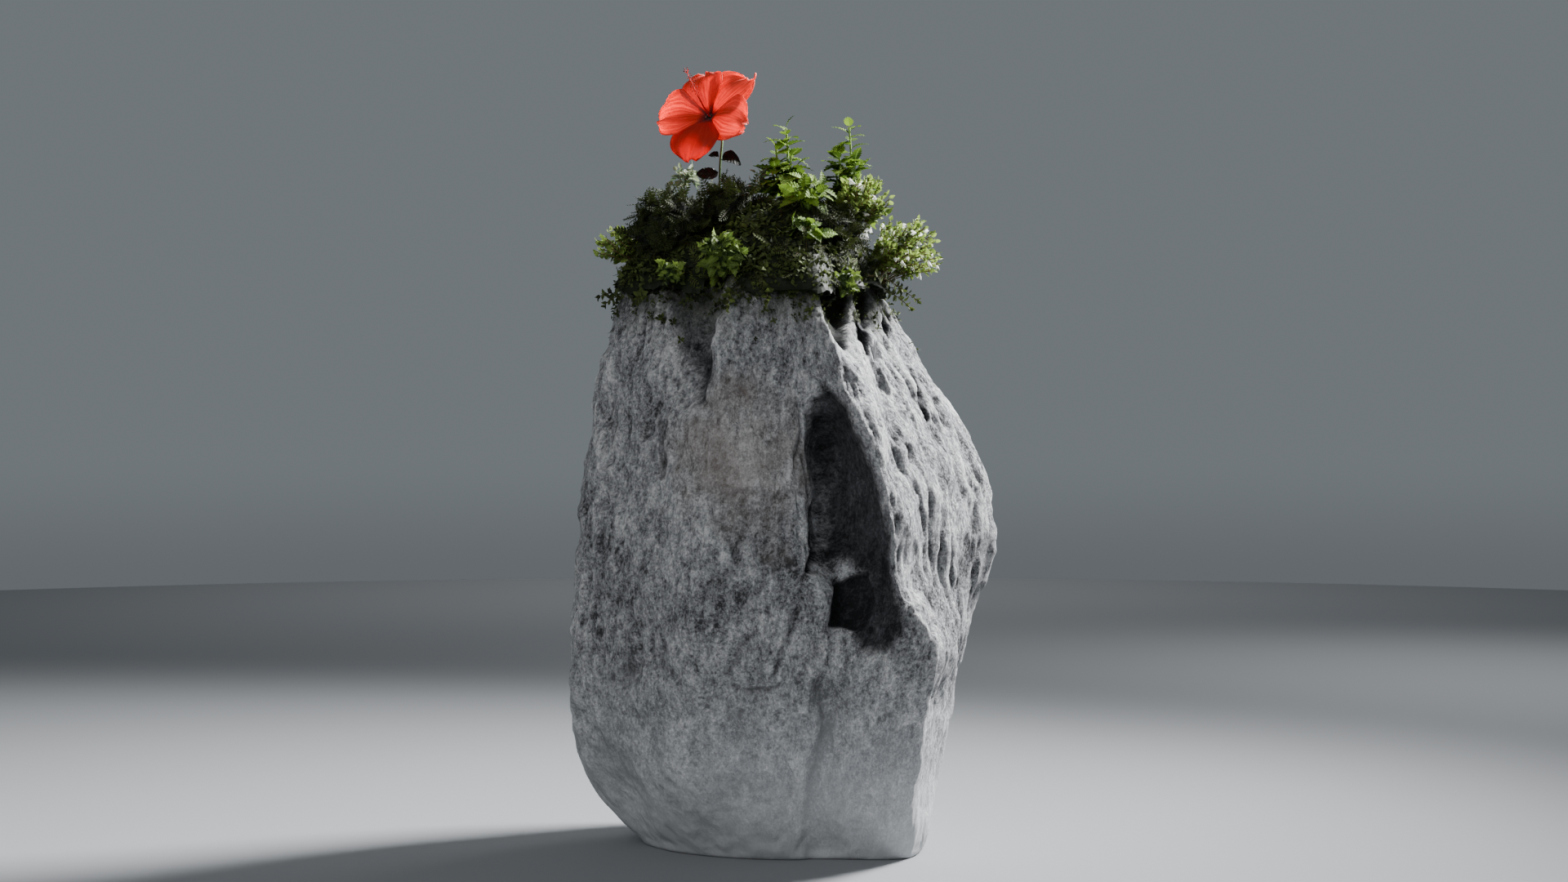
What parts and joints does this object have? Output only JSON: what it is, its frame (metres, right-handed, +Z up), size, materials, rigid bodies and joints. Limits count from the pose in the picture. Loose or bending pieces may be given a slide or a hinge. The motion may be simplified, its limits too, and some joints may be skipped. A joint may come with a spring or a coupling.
{
  "type": "standing stone",
  "caption": "Tall upright grey boulder with a fluted, plant-grown crown and a red hibiscus flower above it; it stands on its flat foot.",
  "frame": {"origin": "middle of the flat foot that the stone stands on, at ground height", "axes": "+X to the right of the front view, the front faces -Y, +Z up"},
  "size_m": [0.5301, 0.4148, 0.9414],
  "materials": {
    "grey_stone": "rough, grainy, weathered",
    "creeping_green": "small matt leaves and moss",
    "dark_fern_green": "feathery matt leaves",
    "nettle_green": "thin toothed leaves, slightly translucent",
    "pale_bush_green": "small leaves with white flowers",
    "petal_red": "thin translucent petals",
    "hibiscus_leaf_green": "dark, slightly glossy leaves",
    "hibiscus_stem_green": "smooth green stem"
  },
  "bodies": {
    "root": {"stone": "grey_stone", "ground_cover": "creeping_green", "back_fern_mound_left": "dark_fern_green", "back_fern_mound_right": "dark_fern_green", "middle_fern_mound": "dark_fern_green", "left_fern_mound": "dark_fern_green", "right_fern_mound": "dark_fern_green", "flowering_bush_right": "pale_bush_green", "flowering_bush_upper": "pale_bush_green", "left_trailing_plant": "pale_bush_green", "pale_sprig_left": "pale_bush_green", "pale_sprig_middle": "pale_bush_green", "front_tuft_left": "nettle_green", "front_tuft_middle": "nettle_green", "front_tuft_right": "nettle_green", "nettle_clump_front": "nettle_green", "nettle_clump_low": "nettle_green", "nettle_shoot_left": "nettle_green", "nettle_shoot_right": "nettle_green", "hibiscus_petal_1": "petal_red", "hibiscus_petal_2": "petal_red", "hibiscus_petal_3": "petal_red", "hibiscus_petal_4": "petal_red", "hibiscus_petal_5": "petal_red", "hibiscus_column": "petal_red", "hibiscus_calyx": "hibiscus_leaf_green", "hibiscus_leaf_small": "hibiscus_leaf_green", "hibiscus_leaf_curled": "hibiscus_leaf_green", "hibiscus_leaf_oval": "hibiscus_leaf_green", "hibiscus_stem": "hibiscus_stem_green"}
  },
  "joints": []
}
